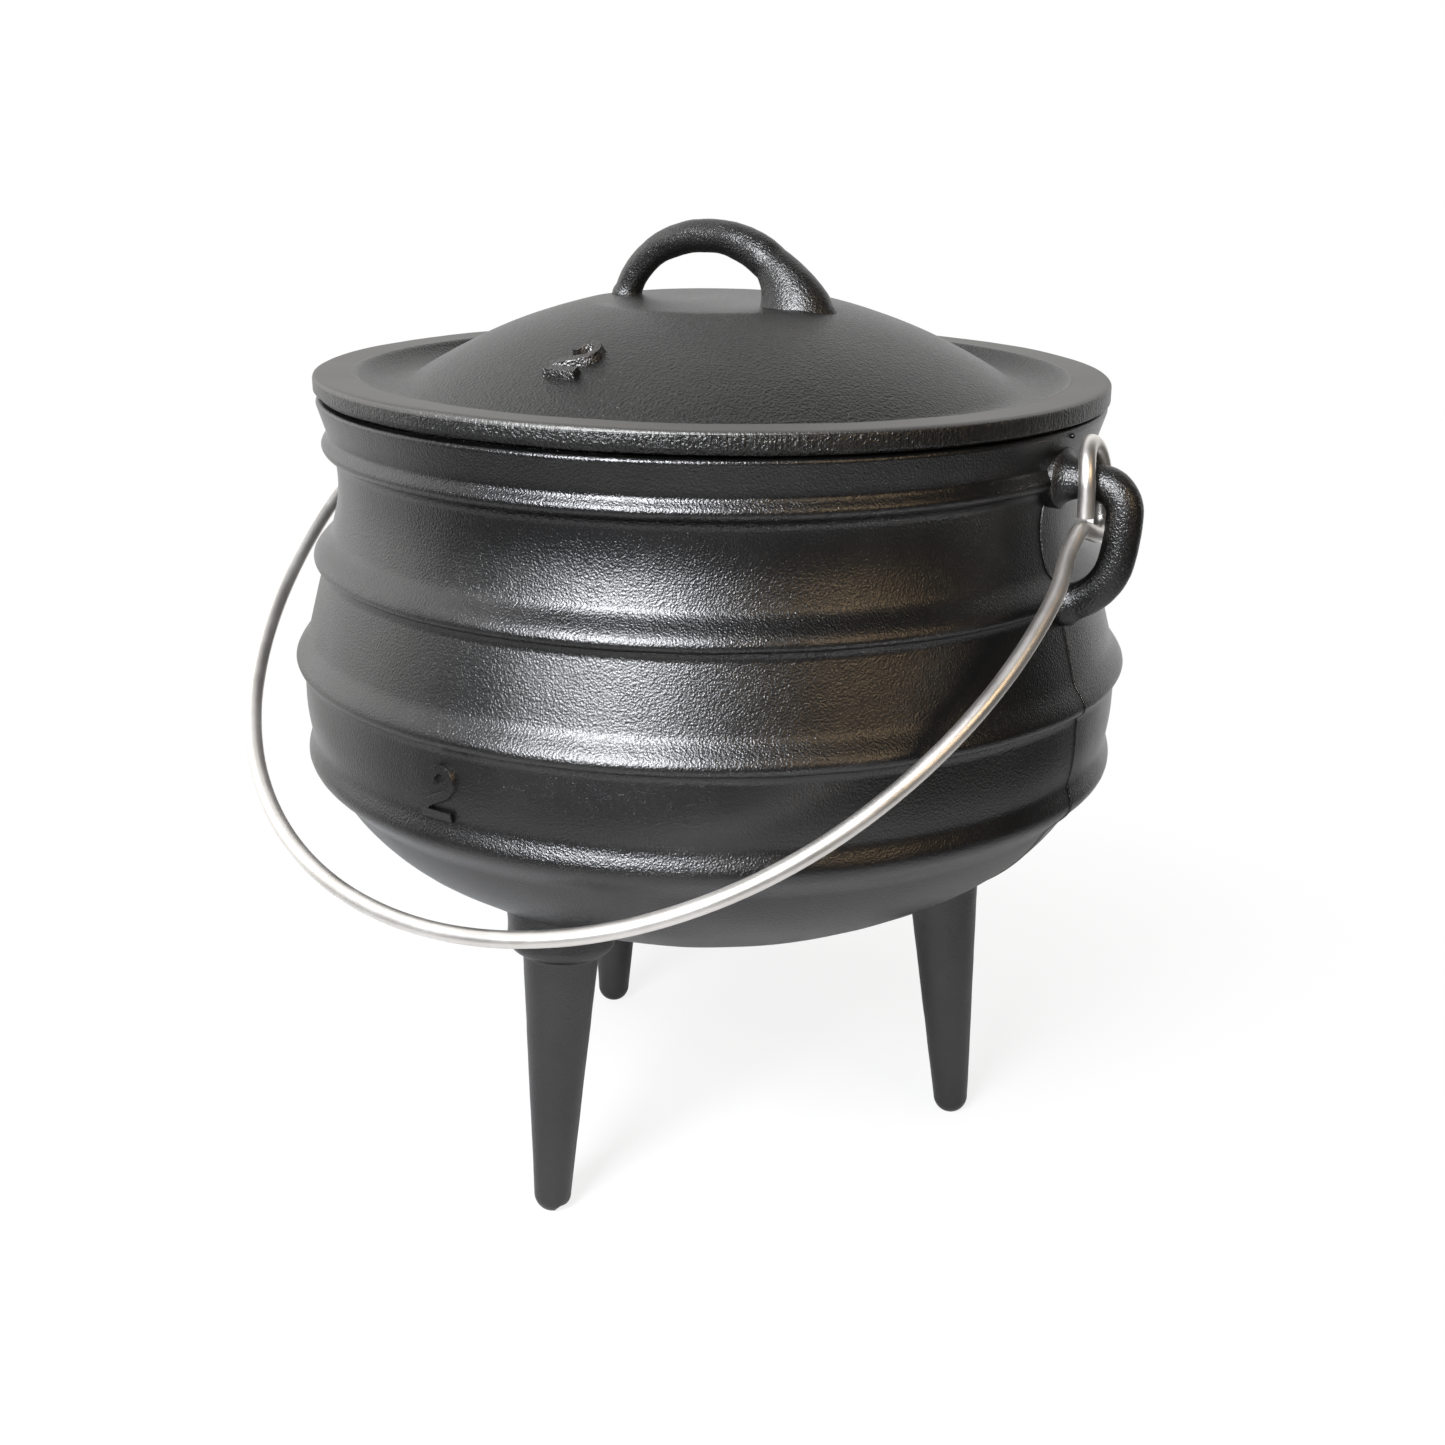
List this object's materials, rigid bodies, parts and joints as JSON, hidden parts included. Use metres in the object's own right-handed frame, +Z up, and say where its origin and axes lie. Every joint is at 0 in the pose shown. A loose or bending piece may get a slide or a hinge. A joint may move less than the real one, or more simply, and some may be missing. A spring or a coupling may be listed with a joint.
{
  "type": "potjie pot",
  "caption": "Legged cast iron pot with a round ribbed belly, side ears, a domed lid with an arched handle, and a swinging wire bail.",
  "frame": {"origin": "on the pot's axis, in the plane that its feet stand on", "axes": "+Z up along the pot's axis, ears and lid handle along X, the bail hangs towards -Y and the front leg is at -Y"},
  "size_m": [0.2832, 0.2731, 0.2949],
  "materials": {
    "iron": "satin black cast iron with a fine leathery grain",
    "lid_iron": "satin black cast iron, ground rim with small bright chips",
    "wire": "satin drawn stainless wire"
  },
  "bodies": {
    "pot": {"pot": "iron", "lid": "lid_iron"},
    "bail": {"bail": "wire"}
  },
  "joints": [
    {"name": "bail_swing", "type": "hinge", "parent": "pot", "child": "bail", "pos_m": [0, 0, 0.2303], "axis": [-1, 0, 0], "range_deg": [-14, 272]}
  ]
}
